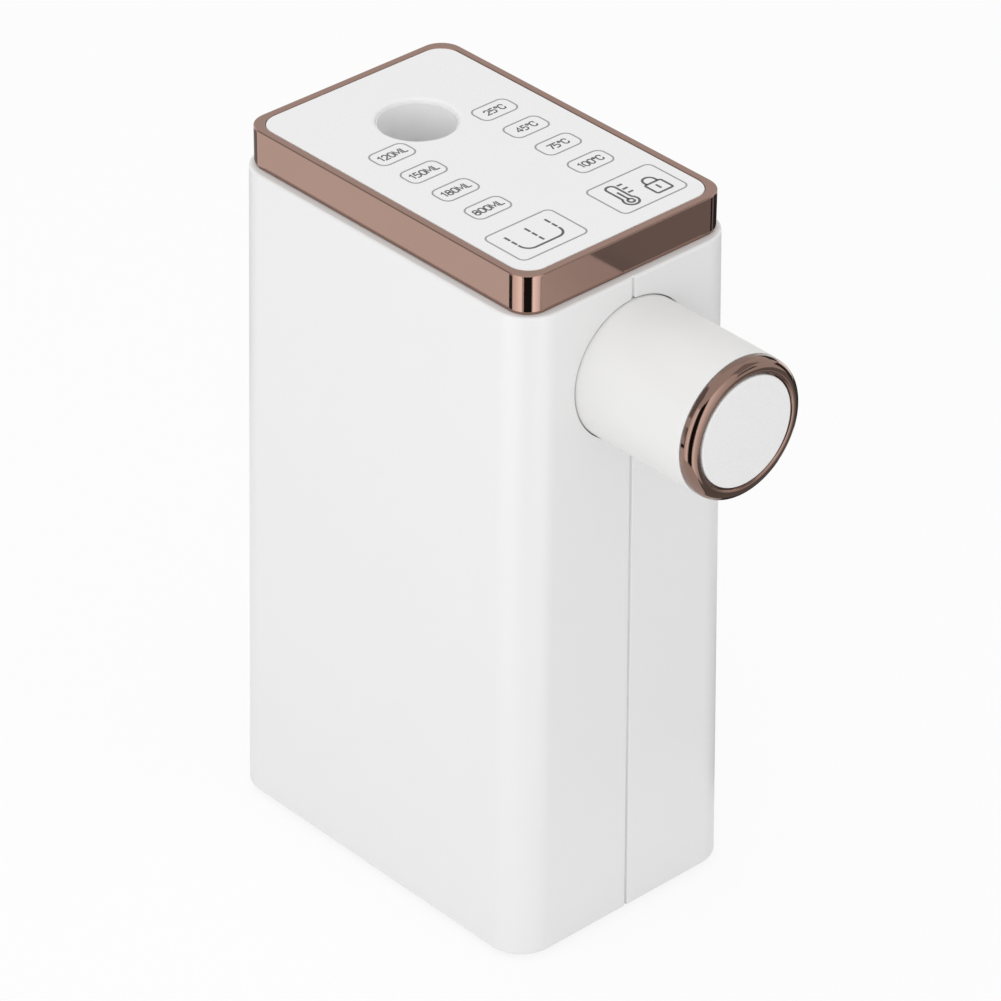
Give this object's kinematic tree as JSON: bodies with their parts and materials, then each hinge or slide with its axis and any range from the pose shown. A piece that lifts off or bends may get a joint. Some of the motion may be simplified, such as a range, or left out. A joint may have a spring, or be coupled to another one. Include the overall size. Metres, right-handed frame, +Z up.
{
  "type": "hot and cold water dispenser",
  "caption": "Slim desktop water dispenser with a two-part housing, plated trim, flush touch panel, top inlet for a bottle mouth, round front spout and inner pump and flow heater.",
  "frame": {"origin": "on the table, under the middle of the whole footprint, spout included", "axes": "+Z up, +X across to the right seen from the front, -Y forward along the spout"},
  "size_m": [0.0956, 0.1906, 0.2545],
  "materials": {
    "housing_white": "satin moulded ABS",
    "panel_white": "gloss moulded acrylic",
    "rose_gold": "polished rose-gold plating",
    "inner_white": "moulded PP",
    "rubber_grey": "matt silicone rubber",
    "hose_clear": "translucent silicone",
    "steel": "brushed",
    "black_plastic": "fine moulded texture",
    "board_green": "solder mask",
    "brass": "plated"
  },
  "bodies": {
    "housing": {"left_housing": "housing_white", "right_housing": "housing_white", "base_plate": "housing_white", "rubber_feet": "rubber_grey", "base_screws": "steel", "trim_frame": "rose_gold", "trim_screws": "steel", "touch_panel": "panel_white", "touch_board": "board_green", "touch_pads": "rubber_grey", "touch_screws": "steel", "inlet_well": "panel_white", "inlet_gasket": "rubber_grey", "inlet_strainer": "steel", "valve_seat": "inner_white", "valve_body": "inner_white", "valve_spring": "steel", "upper_hose": "hose_clear", "meter_cap": "inner_white", "meter_body": "inner_white", "meter_pin": "steel", "lower_hose": "hose_clear", "pump_cover": "black_plastic", "pump_housing": "black_plastic", "pump_seal": "rubber_grey", "pump_motor": "steel", "pump_mount": "rubber_grey", "pump_screws": "steel", "pump_hose": "hose_clear", "heater_low_cap": "black_plastic", "heater_tube": "steel", "heater_high_cap": "black_plastic", "heater_brackets": "steel", "bracket_screws": "steel", "thermal_cutout": "black_plastic", "outlet_probe": "brass", "outlet_elbow": "hose_clear", "outlet_pipe": "inner_white", "nozzle_tip": "rubber_grey", "spout_tube": "housing_white", "spout_ring": "rose_gold", "spout_cap": "panel_white", "spout_screws": "steel", "spine": "steel", "spine_screws": "steel", "main_board": "board_green", "relay": "black_plastic", "transformer": "brass", "capacitors": "black_plastic", "heat_sink": "steel", "terminal_block": "board_green", "power_inlet": "black_plastic", "inlet_pins": "brass", "switch_frame": "black_plastic"},
    "rocker": {"power_rocker": "black_plastic"},
    "valve": {"valve_poppet": "black_plastic"},
    "turbine": {"flow_turbine": "black_plastic"},
    "pump_rotor": {"pump_impeller": "inner_white", "pump_shaft": "steel"}
  },
  "joints": [
    {"name": "rocker_tilt", "type": "hinge", "parent": "housing", "child": "rocker", "pos_m": [0, 0.08762, 0.05867], "axis": [1, 0, 0], "range_deg": [0, 20]},
    {"name": "valve_slide", "type": "slide", "parent": "housing", "child": "valve", "axis": [0, 0, -1], "range_m": [0, 0.0025], "stiffness_N_per_m": 60, "springref_m": -0.002, "deforming": ["valve_spring"]},
    {"name": "turbine_spin", "type": "hinge", "parent": "housing", "child": "turbine", "pos_m": [0, 0.05499, 0.1313], "axis": [0, 0, 1], "continuous": true},
    {"name": "pump_spin", "type": "hinge", "parent": "housing", "child": "pump_rotor", "pos_m": [0, 0.05499, 0.038], "axis": [0, 0, 1], "continuous": true}
  ]
}
